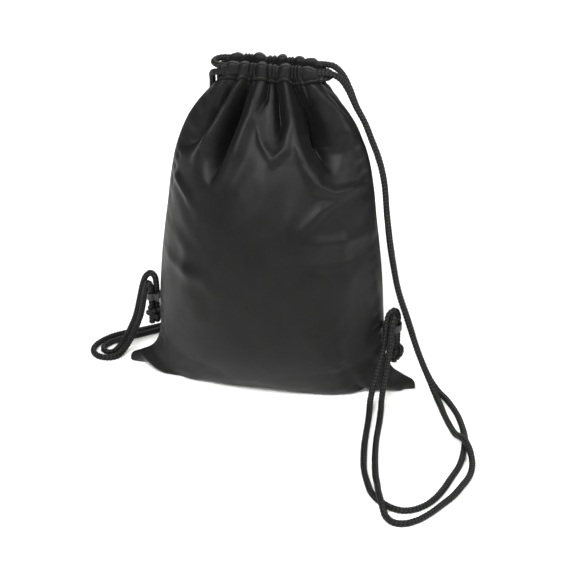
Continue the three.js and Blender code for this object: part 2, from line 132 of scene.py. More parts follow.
LEFT_BACK = [
    (-0.0623, 0.056, 0.3898), (-0.065, 0.056, 0.3898), (-0.0705, 0.0575, 0.3875),
    (-0.074, 0.0615, 0.379), (-0.0755, 0.067, 0.362), (-0.0765, 0.0725, 0.34),
    (-0.0785, 0.077, 0.31), (-0.08, 0.081, 0.268), (-0.08, 0.083, 0.22), (-0.079, 0.084, 0.165),
    (-0.079, 0.084, 0.11), (-0.079, 0.0845, 0.06), (-0.0775, 0.0855, 0.028),
    (-0.0715, 0.0885, 0.011), (-0.058, 0.0955, 0.0044), (-0.038, 0.1034, 0.0036),
    (0.002, 0.111, 0.0036), (0.038, 0.117, 0.0036), (0.064, 0.127, 0.0036),
    (0.074, 0.146, 0.0036), (0.063, 0.166, 0.0036), (0.036, 0.174, 0.0036),
    (-0.001, 0.175, 0.0036), (-0.053, 0.168, 0.0036), (-0.1, 0.149, 0.0036),
    (-0.136, 0.123, 0.0036), (-0.161, 0.098, 0.0036), (-0.181, 0.082, 0.0036),
    (-0.192, 0.074, 0.0036), (-0.206, 0.065, 0.0036), (-0.218, 0.055, 0.0036),
    (-0.228, 0.042, 0.0036), (-0.234, 0.027, 0.0036), (-0.234, 0.013, 0.0036),
    (-0.228, 0.003, 0.0036), (-0.218, -0.002, 0.0036), (-0.208, -0.001, 0.0036),
    (-0.2, 0.006, 0.0036), (-0.1955, 0.015, 0.0055), (-0.1905, 0.02, 0.013),
    (-0.1845, 0.0225, 0.024), (-0.179, 0.022, 0.037), (-0.174, 0.0205, 0.05),
    (-0.17, 0.019, 0.063), (-0.167, 0.0175, 0.078), (-0.164, 0.0155, 0.092),
    (-0.161, 0.013, 0.103), (-0.1575, 0.0102, 0.1095), (-0.1546, 0.0086, 0.107),
    (-0.1537, 0.0083, 0.1), (-0.1537, 0.0083, 0.086), (-0.1537, 0.0083, 0.07),
    (-0.1537, 0.0083, 0.055),
]
TABS = {
    "right": {"centre": (0.156, -0.0022), "root": (0.1426, 0.0023), "low": 0.0825},
    "left": {"centre": (-0.151, 0.011), "root": (-0.1425, 0.0029), "low": 0.088},
}
KNOT_HEIGHTS = {"right": 0.055, "left": 0.069}
MM = 0.001
CLOTH_THICKNESS = 0.5 * MM


# ---- node materials -----------------------------------------------------------------------
def new_material(name):
    material = bpy.data.materials.new(name)
    material.use_nodes = True
    tree = material.node_tree
    shader = tree.nodes["Principled BSDF"]
    return material, tree, shader


def link(tree, a, out, b, into):
    tree.links.new(a.outputs[out], b.inputs[into])


def node(tree, kind, **values):
    made = tree.nodes.new(kind)
    for key, value in values.items():
        if key in made.inputs:
            made.inputs[key].default_value = value
        else:
            setattr(made, key, value)
    return made


def ramp(tree, stops):
    made = tree.nodes.new("ShaderNodeValToRGB")
    elements = made.color_ramp.elements
    while len(elements) < len(stops):
        elements.new(0.5)
    for element, (at, grey) in zip(elements, stops):
        element.position = at
        element.color = (grey, grey, grey * 0.98, 1)
    return made


def cloth_material():
    material, tree, shader = new_material("nylon_cloth")
    uv = node(tree, "ShaderNodeUVMap", uv_map="cloth")
    blotch = node(tree, "ShaderNodeTexNoise", Scale=22.0, Detail=5.0, Roughness=0.6)
    link(tree, uv, "UV", blotch, "Vector")
    tone = ramp(tree, [(0.3, 0.0042), (0.7, 0.0065)])
    link(tree, blotch, "Fac", tone, "Fac")
    link(tree, tone, "Color", shader, "Base Color")
    warp = node(tree, "ShaderNodeTexWave", Scale=700.0, bands_direction="X")
    weft = node(tree, "ShaderNodeTexWave", Scale=700.0, bands_direction="Y")
    crumple = node(tree, "ShaderNodeTexNoise", Scale=60.0, Detail=6.0, Roughness=0.55)
    for texture in (warp, weft, crumple):
        link(tree, uv, "UV", texture, "Vector")
    weave = node(tree, "ShaderNodeMath", operation="MAXIMUM")
    tree.links.new(warp.outputs["Fac"], weave.inputs[0])
    tree.links.new(weft.outputs["Fac"], weave.inputs[1])
    fine = node(tree, "ShaderNodeBump", Strength=0.25, Distance=0.00012)
    tree.links.new(weave.outputs[0], fine.inputs["Height"])
    broad = node(tree, "ShaderNodeBump", Strength=0.35, Distance=0.0012)
    link(tree, crumple, "Fac", broad, "Height")
    link(tree, fine, "Normal", broad, "Normal")
    link(tree, broad, "Normal", shader, "Normal")
    shader.inputs["Roughness"].default_value = 0.45
    shader.inputs["Specular IOR Level"].default_value = 0.16
    shader.inputs["Sheen Weight"].default_value = 0.02
    shader.inputs["Sheen Roughness"].default_value = 0.4
    return material


def yarn_material(name, dark, light, scale, roughness):
    material, tree, shader = new_material(name)
    where = node(tree, "ShaderNodeTexCoord")
    grain = node(tree, "ShaderNodeTexNoise", Scale=scale, Detail=4.0, Roughness=0.7)
    link(tree, where, "Object", grain, "Vector")
    tone = ramp(tree, [(0.35, dark), (0.65, light)])
    link(tree, grain, "Fac", tone, "Fac")
    link(tree, tone, "Color", shader, "Base Color")
    fibres = node(tree, "ShaderNodeTexNoise", Scale=scale * 2.5, Detail=3.0, Roughness=0.6)
    link(tree, where, "Object", fibres, "Vector")
    bump = node(tree, "ShaderNodeBump", Strength=0.4, Distance=0.0003)
    link(tree, fibres, "Fac", bump, "Height")
    link(tree, bump, "Normal", shader, "Normal")
    shader.inputs["Roughness"].default_value = roughness
    shader.inputs["Sheen Weight"].default_value = 0.15
    return material


def braid_material():
    """Cord with painted shade, nearly black in the grooves of the braid, and a painted highlight
    on its crowns.
    """
    material, tree, shader = new_material("braided_cord")
    crown = node(tree, "ShaderNodeAttribute", attribute_name="height")
    # painted shade in the grooves and painted highlight on the crowns, read from the relief
    # height
    tone = ramp(tree, [(0.35, 0.0006), (0.75, 0.007), (1.0, 0.042)])
    link(tree, crown, "Fac", tone, "Fac")
    where = node(tree, "ShaderNodeTexCoord")
    fibres = node(tree, "ShaderNodeTexNoise", Scale=1800.0, Detail=4.0, Roughness=0.7)
    link(tree, where, "Object", fibres, "Vector")
    mix = node(tree, "ShaderNodeMixRGB", blend_type="MULTIPLY", Fac=0.45)
    link(tree, tone, "Color", mix, "Color1")
    link(tree, fibres, "Color", mix, "Color2")
    link(tree, mix, "Color", shader, "Base Color")
    bump = node(tree, "ShaderNodeBump", Strength=0.5, Distance=0.0003)
    link(tree, fibres, "Fac", bump, "Height")
    link(tree, bump, "Normal", shader, "Normal")
    shader.inputs["Roughness"].default_value = 0.55
    shader.inputs["Specular IOR Level"].default_value = 0.18
    return material


CLOTH = cloth_material()
CORD_YARN = braid_material()
TAPE = yarn_material("woven_tape", 0.006, 0.013, 1200.0, 0.6)
THREAD = yarn_material("sewing_thread", 0.008, 0.020, 2500.0, 0.5)


# ---- meshes -------------------------------------------------------------------------------
def mesh_object(name, points, faces, material, uvs=None, heights=None):
    mesh = bpy.data.meshes.new(name)
    mesh.from_pydata([tuple(map(float, p)) for p in points], [], [tuple(f) for f in faces])
    mesh.update()
    if uvs is not None:
        layer = mesh.uv_layers.new(name="cloth")
        corners = np.empty(len(mesh.loops), np.int32)
        mesh.loops.foreach_get("vertex_index", corners)
        layer.data.foreach_set("uv", np.asarray(uvs, np.float32)[corners].ravel())
    if heights is not None:
        layer = mesh.attributes.new("height", "FLOAT", "POINT")
        layer.data.foreach_set("value", np.asarray(heights, np.float32).ravel())
    mesh.materials.append(material)
    made = bpy.data.objects.new(name, mesh)
    bpy.context.scene.collection.objects.link(made)
    mesh.shade_smooth()
    return made


def attach(piece, body, node_name):
    """Puts the piece on the body it rides on and hides the CAD node that it stands for."""
    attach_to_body(piece, body)
    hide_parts(node_name)


def thicken(piece):
    thick = piece.modifiers.new("thickness", "SOLIDIFY")
    thick.thickness = CLOTH_THICKNESS
    thick.offset = 0


def smooth_step(t):
    return t * t * (3 - 2 * t)


def grid_faces(rows, columns, wrap=False, start=0):
    across = columns if wrap else columns - 1
    faces = []
    for r in range(rows - 1):
        for c in range(across):
            d = (c + 1) % columns
            a, b = start + r * columns, start + (r + 1) * columns
            faces.append((a + c, a + d, b + d, b + c))
    return faces


def spline(points, per_span=40):
    """The same centripetal Catmull-Rom line that the cords of the design follow."""
    p = np.array(points, float)
    p = np.vstack([2 * p[0] - p[1], p, 2 * p[-1] - p[-2]])
    out = []
    for i in range(1, len(p) - 2):
        p0, p1, p2, p3 = p[i - 1 : i + 3]
        t1 = np.linalg.norm(p1 - p0) ** 0.5
        t2 = t1 + np.linalg.norm(p2 - p1) ** 0.5
        t3 = t2 + np.linalg.norm(p3 - p2) ** 0.5
        t = np.linspace(t1, t2, per_span, endpoint=False)[:, None]
        a1 = (t1 - t) / t1 * p0 + t / t1 * p1
        a2 = (t2 - t) / (t2 - t1) * p1 + (t - t1) / (t2 - t1) * p2
        a3 = (t3 - t) / (t3 - t2) * p2 + (t - t2) / (t3 - t2) * p3
        b1 = (t2 - t) / t2 * a1 + t / t2 * a2
        b2 = (t3 - t) / (t3 - t1) * a2 + (t - t1) / (t3 - t1) * a3
        out.append((t2 - t) / (t2 - t1) * b1 + (t - t1) / (t2 - t1) * b2)
    out.append(p[-2:-1])
    return np.vstack(out)


def distances(line):
    return np.r_[0, np.cumsum(np.linalg.norm(np.diff(line, axis=0), axis=1))]


def even(line, step=None, count=None):
    s = distances(line)
    count = count or max(int(round(s[-1] / step)) + 1, 2)
    t = np.linspace(0, s[-1], count)
    return np.stack([np.interp(t, s, line[:, k]) for k in range(line.shape[1])], 1)


def frames(line):
    """Two sideways directions at each point, carried along the line without twist."""
    tangent = np.gradient(line, axis=0)
    tangent /= np.linalg.norm(tangent, axis=1)[:, None]
    side = np.cross(tangent[0], (0.2, 0.3, 0.93))
    side /= np.linalg.norm(side)
    sides = [side]
    for t in tangent[1:]:
        side = side - t * side.dot(t)
        side = side / np.linalg.norm(side)
        sides.append(side)
    sides = np.array(sides)
    return sides, np.cross(tangent, sides)


# ---- cords --------------------------------------------------------------------------------
BRAID_PITCH = 4.3 * MM
BRAID_COLUMNS = 4
BRAID_RELIEF = 1.1 * MM
KNOT_RING = (5.4 * MM, 2.9 * MM)
KNOT_TILT = 0.5


def braid_relief(along, angle):
    """Height of the braid's chevrons over the cord's round core."""
    column = (angle * BRAID_COLUMNS / (2 * math.pi)) % 1.0
    v = np.abs(column - 0.5) * 2
    chevron = np.abs(np.sin(math.pi * (along / BRAID_PITCH + 0.62 * v)))
    groove = 1 - np.exp(-(((1 - v) / 0.12) ** 2))
    spine = 1 - 0.6 * np.exp(-((v / 0.12) ** 2))
    return BRAID_RELIEF * (chevron**0.55 * groove * spine - 0.6)


def braided_tube(name, line, radius=CORD / 2, ring=0.62 * MM, sides=30, start=0.0):
    line = even(line, step=ring)
    side, other = frames(line)
    along = distances(line)[:, None]
    angle = (2 * math.pi * np.arange(sides) / sides)[None, :]
    wobble = 0.12 * MM * np.sin(along / 0.017 + start)
    braid = braid_relief(along + start, angle + along * 9.0)
    height = radius + wobble + braid
    points = (
        line[:, None, :]
        + (height * np.cos(angle))[..., None] * side[:, None, :]
        + (height * np.sin(angle))[..., None] * other[:, None, :]
    ).reshape(-1, 3)
    faces = grid_faces(len(line), sides, wrap=True)
    faces.append(tuple(range(sides))[::-1])
    faces.append(tuple(range(len(points) - sides, len(points))))
    # the relief height is stored on the points so the cord material can paint shade in the
    # grooves and a highlight on the crowns
    return mesh_object(name, points, faces, CORD_YARN, heights=braid / BRAID_RELIEF + 0.6)


def strand(name, points, node_name):
    line = spline(points)
    made = braided_tube(name, line, start=points[0][1])
    attach(made, "bag", node_name)


def hem_run(name, node_name, exit_side, height):
    """The stretch of a cord inside the hems: in on one side, round the far end and back."""
    exit_x = MOUTH_SHIFT + exit_side * (HEM_HALF_WIDTH + HEM_END_GAP)
    turn_x = MOUTH_SHIFT - exit_side * (HEM_HALF_WIDTH + HEM_END_GAP)
    points = [(exit_x, MOUTH_LEAN - HEM_OFFSET, height)]
    for angle in np.linspace(0, math.pi, 25):
        x = turn_x - exit_side * HEM_OFFSET * math.sin(angle)
        points.append((x, MOUTH_LEAN - HEM_OFFSET * math.cos(angle), height))
    points.append((exit_x, MOUTH_LEAN + HEM_OFFSET, height))
    attach(braided_tube(name, np.array(points)), "bag", node_name)


def tight_knot(name, node_name, tab, height, body):
    """An overhand knot pulled tight: a small trefoil of the same cord."""
    t = np.linspace(0, 2 * math.pi, 400, endpoint=False)
    big, small = KNOT_RING
    ring = big + small * np.cos(3 * t)
    trefoil = np.stack(
        [ring * np.cos(2 * t) * 0.86, ring * np.sin(2 * t) * 1.12, 1.25 * small * np.sin(3 * t)],
        1,
    )
    trefoil = np.vstack([trefoil, trefoil[:1]])
    turn = math.atan2(
        tab["centre"][1] - tab["root"][1], tab["centre"][0] - tab["root"][0]
    )
    c, s = math.cos(KNOT_TILT), math.sin(KNOT_TILT)
    trefoil = trefoil @ np.array([[1, 0, 0], [0, c, s], [0, -s, c]])
    c, s = math.cos(turn), math.sin(turn)
    trefoil = trefoil @ np.array([[c, s, 0], [-s, c, 0], [0, 0, 1]])
    trefoil = trefoil + np.array([*tab["centre"], height])
    made = braided_tube(name, trefoil, radius=3.3 * MM, ring=0.5 * MM, sides=24)
    attach(made, body, node_name)
    return made


# ---- cloth shape --------------------------------------------------------------------------
def lean(z):
    return MOUTH_LEAN * np.clip(z / PANEL_TOP, 0, 1) ** 2


def shift(z):
    return MOUTH_SHIFT * np.clip(z / PANEL_TOP, 0, 1) ** 3


seam_line = even(spline([(x, z, 0) for x, z in SEAM]), count=400)
middle_lines = {
    -1: even(spline([(x, z, 0) for x, z in FRONT_MIDDLE]), count=400),
    1: even(spline([(x, z, 0) for x, z in BACK_MIDDLE]), count=400),
}


def along_line(line, up, k):
    return np.interp(up * (len(line) - 1), np.arange(len(line)), line[:, k])


def panel_shape(across, up, side):
    """Smooth shape of the filled bag: across runs -1..1 between the seams, up runs 0..1."""
    edge_x, edge_z = along_line(seam_line, up, 0), along_line(seam_line, up, 1)
    middle = middle_lines[side]
    depth, middle_z = along_line(middle, up, 0), along_line(middle, up, 1)
    power = np.interp(up, *SECTION_POWERS)
    weight = np.maximum(1 - np.abs(across) ** power, 0) ** 0.75
    z = np.maximum(edge_z + (middle_z - edge_z) * weight, 0)
    y = lean(z) + side * depth * weight
    return np.stack([edge_x * across + shift(z), y, z], -1)


# Folds of each panel, each a line of (across, up, height in mm, half width in mm).
FRONT_FOLDS = [
    [(-0.64, 1.0, -4, 3.5), (-0.72, 0.985, -9, 5), (-0.78, 0.916, -16, 8),
     (-0.83, 0.842, -15, 9), (-0.93, 0.764, -2, 8)],
    [(-0.52, 1.0, 3, 4), (-0.60, 0.98, 5, 5), (-0.66, 0.93, 8, 6), (-0.69, 0.83, 8, 6),
     (-0.74, 0.75, 1, 7)],
    [(-0.36, 1.0, -4, 3), (-0.38, 0.982, -9, 4), (-0.44, 0.93, -17, 7), (-0.47, 0.868, -19, 8),
     (-0.50, 0.794, -13, 9), (-0.52, 0.726, -1, 7)],
    [(-0.30, 1.0, 3, 4), (-0.25, 0.906, 7, 8), (-0.32, 0.828, 6, 8), (-0.42, 0.745, 3, 8)],
    [(0.12, 1.0, -4, 2.5), (0.18, 0.964, -9, 4), (0.2, 0.906, -9, 5), (0.17, 0.85, -1, 5)],
    [(-0.02, 1.0, -3, 2.5), (-0.04, 0.965, -6, 3), (-0.1, 0.92, -1, 4)],
    [(-0.22, 0.95, 1, 4), (-0.02, 0.852, 3, 4), (0.12, 0.81, 4, 5), (0.28, 0.844, 3, 5),
     (0.37, 0.932, 1, 5)],
    [(0.46, 1.0, -6, 3.5), (0.51, 0.985, -12, 5), (0.57, 0.95, -22, 8), (0.61, 0.89, -27, 11),
     (0.66, 0.814, -22, 11), (0.72, 0.755, -4, 8)],
    [(0.36, 1.0, 3, 4), (0.42, 0.9, 6, 6), (0.48, 0.80, 7, 7), (0.57, 0.734, 7, 6),
     (0.69, 0.708, 6, 5), (0.85, 0.70, 5, 5), (1.0, 0.69, 0, 5)],
    [(1.0, 0.80, 0, 6), (0.93, 0.86, 5, 8), (0.86, 0.93, 5, 7), (0.8, 0.99, 3, 5)],
    [(0.40, 0.605, 1, 8), (0.55, 0.583, 5, 8), (0.75, 0.568, 6, 8), (0.99, 0.55, 3, 8)],
    [(0.42, 0.63, 2, 6), (0.6, 0.672, 4, 6), (0.82, 0.69, 2, 6)],
    [(0.5, 0.53, -3, 12), (0.8, 0.51, -4, 12)],
    [(-0.98, 0.678, 0, 4), (-0.88, 0.69, 4, 5), (-0.75, 0.67, 4, 5), (-0.67, 0.638, 0, 5)],
    [(-0.93, 0.454, 1, 6), (-0.68, 0.464, 4, 8), (-0.49, 0.458, 3, 10), (-0.3, 0.43, 0, 12)],
    [(-0.9, 0.56, 0, 8), (-0.7, 0.52, 3, 10), (-0.62, 0.40, 2, 12), (-0.55, 0.3, 0, 12)],
    [(-0.99, 0.06, 2, 5), (-0.86, 0.064, 5, 6), (-0.64, 0.05, 4, 7), (-0.5, 0.1, 0, 8)],
    [(-0.92, 0.01, -1, 9), (-0.7, 0.02, -4, 12), (-0.45, 0.03, -5, 13), (-0.2, 0.03, -1, 12)],
    [(0.70, 0.03, -6, 6), (0.74, 0.10, -6, 7), (0.72, 0.2, -2, 8)],
    [(0.9, 0.02, 3, 6), (0.91, 0.1, 4, 6), (0.86, 0.2, 1, 8)],
    [(0.88, 0.35, 0, 8), (0.72, 0.3, 3, 9), (0.66, 0.2, 2, 9)],
]
BACK_FOLDS = [
    [(-0.7, 1.0, -4, 3.5), (-0.74, 0.93, -9, 8), (-0.7, 0.85, -9, 10), (-0.72, 0.77, -1, 9)],
    [(-0.25, 1.0, -4, 3), (-0.28, 0.93, -11, 8), (-0.33, 0.84, -11, 10), (-0.38, 0.74, -1, 9)],
    [(0.15, 1.0, -4, 3), (0.18, 0.94, -8, 6), (0.12, 0.87, -5, 8), (0.1, 0.8, 0, 8)],
    [(0.6, 1.0, -5, 3.5), (0.62, 0.93, -12, 9), (0.6, 0.84, -12, 11), (0.66, 0.74, -1, 9)],
    [(-0.5, 0.7, 2, 12), (0.0, 0.66, 3, 16), (0.5, 0.69, 2, 12)],
    [(-0.9, 0.35, 0, 14), (-0.4, 0.4, 3, 16), (0.1, 0.36, 0, 14)],
]
# Pleats gathered on the cords: place, height and half width in mm, and how far down they run.
PLEATS = [
    (-55, 1.5, 5.0, 0.12), (-43, 3.5, 6.5, 0.13), (-31, 5.0, 5.6, 0.11), (-22.5, 3.0, 2.3, 0.06),
    (-18, 2.5, 2.0, 0.05), (-8, 6.5, 7.0, 0.12), (1.5, 3.0, 2.1, 0.06), (6, 2.5, 1.9, 0.05),
    (17.5, 6.5, 7.2, 0.10), (27, 3.0, 2.0, 0.05), (31.5, 3.6, 2.1, 0.06), (36.5, 3.0, 2.3, 0.05),
    (47.5, 4.0, 7.5, 0.12),
]
PANEL_RUN = 0.44
# How a fold fades sideways: power of the falloff, gain on its height, spread of its width.
VALLEY = (1.5, 1.8, 1.0)
RIDGE = (2.0, 1.2, 1.15)
PUCKER_DEPTH = 1.1 * MM
PUCKER_PITCH = 3.0 * MM
HEM_SWELL = 4.8 * MM
HEM_REACH = 0.0575
HEM_WRAP = 0.056


def pleats(across, up, side):
    """Outward swell of the gathered cloth: rounded lobes with sharp valleys between them."""
    x = across * HEM_REACH * -side
    total = np.zeros(np.broadcast(x, up).shape)
    for centre, height, width, down in PLEATS:
        offset = np.clip(np.abs(x - centre * MM) / (width * MM), 0, 1)
        reach = np.clip((up - 1 + down) / (0.75 * down), 0, 1)
        lobe = (1 - offset**2) ** 0.75 * smooth_step(reach)
        total = np.maximum(total, height * MM * lobe)
    return total


def fold_profile(px, py, fold):
    """Height of one fold at each point: strongest on its line, fading to the sides."""
    line = np.array(fold, float)
    best = np.full(px.shape, 1e9)
    height = np.zeros(px.shape)
    spans = along_line(seam_line, line[:, 1], 0)
    bends = np.stack([line[:, 0] * spans, line[:, 1] * PANEL_RUN], 1)
    power, gain, spread = VALLEY if fold[1][2] < 0 else RIDGE
    for a, b, la, lb in zip(bends[:-1], bends[1:], line[:-1], line[1:]):
        d = b - a
        t = ((px - a[0]) * d[0] + (py - a[1]) * d[1]) / (d @ d)
        t = np.clip(t, 0, 1)
        gap = np.hypot(px - a[0] - t * d[0], py - a[1] - t * d[1])
        tall = (la[2] + (lb[2] - la[2]) * t) * MM
        wide = (la[3] + (lb[3] - la[3]) * t) * MM
        value = gain * tall * np.exp(-((gap / (wide * spread)) ** power))
        closer = gap < best
        best = np.where(closer, gap, best)
        height = np.where(closer, value, height)
    return height


def relief(across, up, side):
    """Fold heights over the smooth shape, outwards."""
    px = across * along_line(seam_line, up, 0)
    py = up * PANEL_RUN
    total = np.zeros_like(px)
    for fold in FRONT_FOLDS if side < 0 else BACK_FOLDS:
        total += fold_profile(px, py, fold)
    total += pleats(across, up, side)
    total += HEM_SWELL * np.clip((up - 0.87) / 0.13, 0, 1) ** 1.4
    pucker = np.exp(-(((np.abs(across) - 0.955) / 0.035) ** 2)) * np.clip(up / 0.2, 0, 1)
    pucker *= 0.6 + 0.4 * np.sin(py / 0.037 + side)
    waves = 1 + np.sin(py / PUCKER_PITCH + 1.9 * np.sin(py / 0.017))
    total -= PUCKER_DEPTH * pucker * waves
    return total * np.clip((1 - np.abs(across)) / 0.05, 0, 1) ** 0.5


COLUMNS = 110
ROWS = 140
SIM_FRAMES = 24
SLACK = 1.035
FILL_CLEARANCE = 5 * MM
SIM_SHARE = 0.6
NECK_INSET = 38 * MM
LOWEST = 0.4 * MM
LOOSE_MOVE = 12 * MM
FIRM_MOVE = 5 * MM


def surface_normals(p, side):
    normal = np.cross(np.gradient(p, axis=1), np.gradient(p, axis=0)) * -side
    return normal / np.maximum(np.linalg.norm(normal, axis=2), 1e-9)[..., None]


def sack_coordinates():
    t = np.linspace(-1, 1, COLUMNS + 1)
    turn = math.pi / 2 * 0.90
    across = np.sin(turn * t) / math.sin(turn)
    up = np.linspace(0, 1, ROWS + 1)
    return np.meshgrid(across, up)


def sack_start():
    """Front and back grids of points: the smooth filled bag with its main folds pressed in."""
    a, v = sack_coordinates()
    sheets = []
    for side in (-1, 1):
        p = panel_shape(a, v, side)
        p = p + relief(a, v, side)[..., None] * surface_normals(p, side)
        p[..., 2] = np.maximum(p[..., 2], LOWEST)
        sheets.append(p)
    return sheets


def sack_mesh():
    """One index grid for each panel; the side seams and the bottom seam share their points."""
    rows, columns = ROWS + 1, COLUMNS + 1
    front = np.arange(rows * columns).reshape(rows, columns)
    back = front + rows * columns
    back[:, 0], back[:, -1], back[0, :] = front[:, 0], front[:, -1], front[0, :]
    faces = []
    for grid, step in ((front, 1), (back, -1)):
        quads = np.stack([grid[:-1, :-1], grid[:-1, 1:], grid[1:, 1:], grid[1:, :-1]], -1)
        faces += quads.reshape(-1, 4)[:, ::step].tolist()
    return front, back, faces


def filling(inset):
    """What the bag is filled with: a closed smooth body a little inside the cloth."""
    t = np.linspace(-0.93, 0.93, 33)
    up = np.linspace(0.01, 0.93, 36)
    a, v = np.meshgrid(t, up)
    loops = []
    for side in (-1, 1):
        p = panel_shape(a, v, side)
        depth = inset + NECK_INSET * np.clip((v - 0.64) / 0.26, 0, 1) ** 1.3
        p = p - depth[..., None] * surface_normals(p, side)
        middle = lean(p[..., 2])
        p[..., 1] = middle + side * np.maximum(side * (p[..., 1] - middle), 0.3 * MM)
        p[..., 2] = np.maximum(p[..., 2], 2 * MM)
        loops.append(p)
    ring = np.concatenate([loops[0], loops[1][:, ::-1]], axis=1)
    rows, columns = ring.shape[:2]
    faces = grid_faces(rows, columns, wrap=True)
    faces.append(tuple(range(columns))[::-1])
    faces.append(tuple(range((rows - 1) * columns, rows * columns)))
    return mesh_object("filling", ring.reshape(-1, 3), faces, CLOTH)


def simulate(points, rest_points, faces, hold):
    """Runs the cloth on the whole sack, which is at ease in the shape of rest_points.

    hold is how firmly each point keeps its place.
    """
    sack = mesh_object("sack", points, faces, CLOTH)
    sack.shape_key_add(name="Basis")
    at_ease = sack.shape_key_add(name="at_ease")
    at_ease.data.foreach_set("co", np.asarray(rest_points, np.float32).ravel())
    group = sack.vertex_groups.new(name="hold")
    for level in np.unique(hold):
        group.add(np.flatnonzero(hold == level).tolist(), float(level), "REPLACE")
    modifier = sack.modifiers.new("cloth", "CLOTH")
    cloth = modifier.settings
    cloth.quality = 7
    cloth.mass = 0.012
    cloth.air_damping = 1.0
    cloth.tension_stiffness = 12
    cloth.compression_stiffness = 9
    cloth.shear_stiffness = 2.5
    cloth.bending_stiffness = 0.3
    cloth.tension_damping = cloth.compression_damping = 3
    cloth.shear_damping = 2
    cloth.bending_damping = 0.2
    cloth.vertex_group_mass = "hold"
    cloth.pin_stiffness = 1.0
    cloth.rest_shape_key = at_ease
    cloth.use_pressure = True
    cloth.uniform_pressure_force = 0.12
    cloth.effector_weights.gravity = 0.1
    modifier.collision_settings.distance_min = 1.0 * MM
    modifier.collision_settings.collision_quality = 3
    modifier.point_cache.frame_end = SIM_FRAMES
    body = filling(FILL_CLEARANCE)
    body.modifiers.new("collision", "COLLISION")
    body.collision.thickness_outer = 1.0 * MM
    scene = bpy.context.scene
    for frame_number in range(1, SIM_FRAMES + 1):
        scene.frame_set(frame_number)
    shown = sack.evaluated_get(bpy.context.evaluated_depsgraph_get()).to_mesh()
    result = np.empty(len(points) * 3, np.float32)
    shown.vertices.foreach_get("co", result)
    scene.frame_set(1)
    bpy.data.objects.remove(sack)
    bpy.data.objects.remove(body)
    return result.reshape(-1, 3).astype(float)


def smoothed(grid, times):
    """Averages each point's move with those of its four neighbours, several times over."""
    for _ in range(times):
        wide = np.pad(grid, ((1, 1), (1, 1), (0, 0)), mode="edge")
        grid = (
            4 * grid + wide[:-2, 1:-1] + wide[2:, 1:-1] + wide[1:-1, :-2] + wide[1:-1, 2:]
        ) / 8
    return grid


def settle(sheets):
    """Adds a limited share of the simulated move to the shape that the cloth starts from."""
    front, back, faces = sack_mesh()
    a, v = sack_coordinates()
    points = np.concatenate([sheets[0].reshape(-1, 3), sheets[1].reshape(-1, 3)])
    ears = np.clip(1 - v / 0.10, 0, 1) * np.clip((np.abs(a) - 0.6) / 0.3, 0, 1)
    edge = np.exp(-(((1 - np.abs(a)) / 0.02) ** 2))
    firm = np.maximum.reduce([0.05 + 0 * v, 0.25 * ears, 0.10 * edge, (v > 0.995) * 1.0])
    hold = np.round(np.tile(firm.ravel(), 2), 2)
    moved = simulate(points, points * SLACK, faces, hold)
    out = []
    for grid, start in zip((front, back), sheets):
        step = smoothed(moved[grid] - start, 8)
        size = np.linalg.norm(step, axis=2)[..., None]
        inner = np.clip((1 - np.abs(a)) / 0.1, 0, 1)[..., None]
        cap = FIRM_MOVE + (LOOSE_MOVE - FIRM_MOVE) * inner
        step = step * (np.tanh(size / cap) * cap / np.maximum(size, 1e-9))
        q = start + SIM_SHARE * step
        q[..., 2] = np.maximum(q[..., 2], LOWEST)
        out.append(q)
    out[1][:, 0], out[1][:, -1], out[1][0] = out[0][:, 0], out[0][:, -1], out[0][0]
    return out


start_sheets = dict(zip((-1, 1), sack_start()))


def front_and_back():
    sheets = list(start_sheets.values())
    sheets = settle(sheets)
    a, v = sack_coordinates()
    uvs = np.stack([a * FLAT_WIDTH / 2, v * FLAT_HEIGHT], -1).reshape(-1, 2)
    for side, points in zip((-1, 1), sheets):
        rows, columns = points.shape[:2]
        faces = grid_faces(rows, columns)
        if side > 0:
            faces = [f[::-1] for f in faces]
        node_name = "front_panel" if side < 0 else "back_panel"
        panel = mesh_object(f"{node_name}_cloth", points.reshape(-1, 3), faces, CLOTH, uvs)
        thicken(panel)
        finer = panel.modifiers.new("finer", "SUBSURF")
        finer.levels = finer.render_levels = 1
        attach(panel, "bag", node_name)


# ---- hems ---------------------------------------------------------------------------------
def top_edge(side):
    """The upper edge of a panel, which the hem goes on from."""
    across, _ = sack_coordinates()
    return across[0], start_sheets[side][-1]


def hem_section(across, climb, side):
    """A point of the hem: climb runs 0..1 up the outer face, over the top and down inside."""
    columns, edge = top_edge(side)
    edge_x, edge_y, edge_z = (np.interp(across * 0.955, columns, edge[:, k]) for k in range(3))
    outward = np.cos(np.pi * climb)
    rise = np.sin(np.pi * climb)
    end = np.clip((np.abs(across) - 0.8) / 0.2, 0, 1)
    centre = MOUTH_LEAN + side * HEM_OFFSET
    lobes = pleats(across, np.ones_like(across), side)
    begin = side * (edge_y - centre)
    free = 4.1 * MM + 0.75 * lobes
    s = smooth_step(np.clip(rise / 0.5, 0, 1))
    outer = begin + (free - begin) * s
    inner = 1.5 * MM + (2.6 * MM + 0.45 * lobes) * s
    round_over = np.abs(outward) ** 0.45
    depth = np.where(outward > 0, outer, -inner) * np.where(rise > 0.6, round_over, 1)
    skew = 1.8 * MM * np.sin(across * 8.0 + side) * rise
    low_z = np.where(outward > 0, edge_z, PANEL_TOP + 1.5 * MM)
    high_z = HEM_TOP - 2.4 * MM + 0.6 * lobes - 3 * MM * end
    z = low_z + (high_z - low_z) * rise**0.8
    x = edge_x + (MOUTH_SHIFT + across * HEM_REACH - edge_x) * rise + skew
    return np.stack([x, centre + side * depth, z], -1)


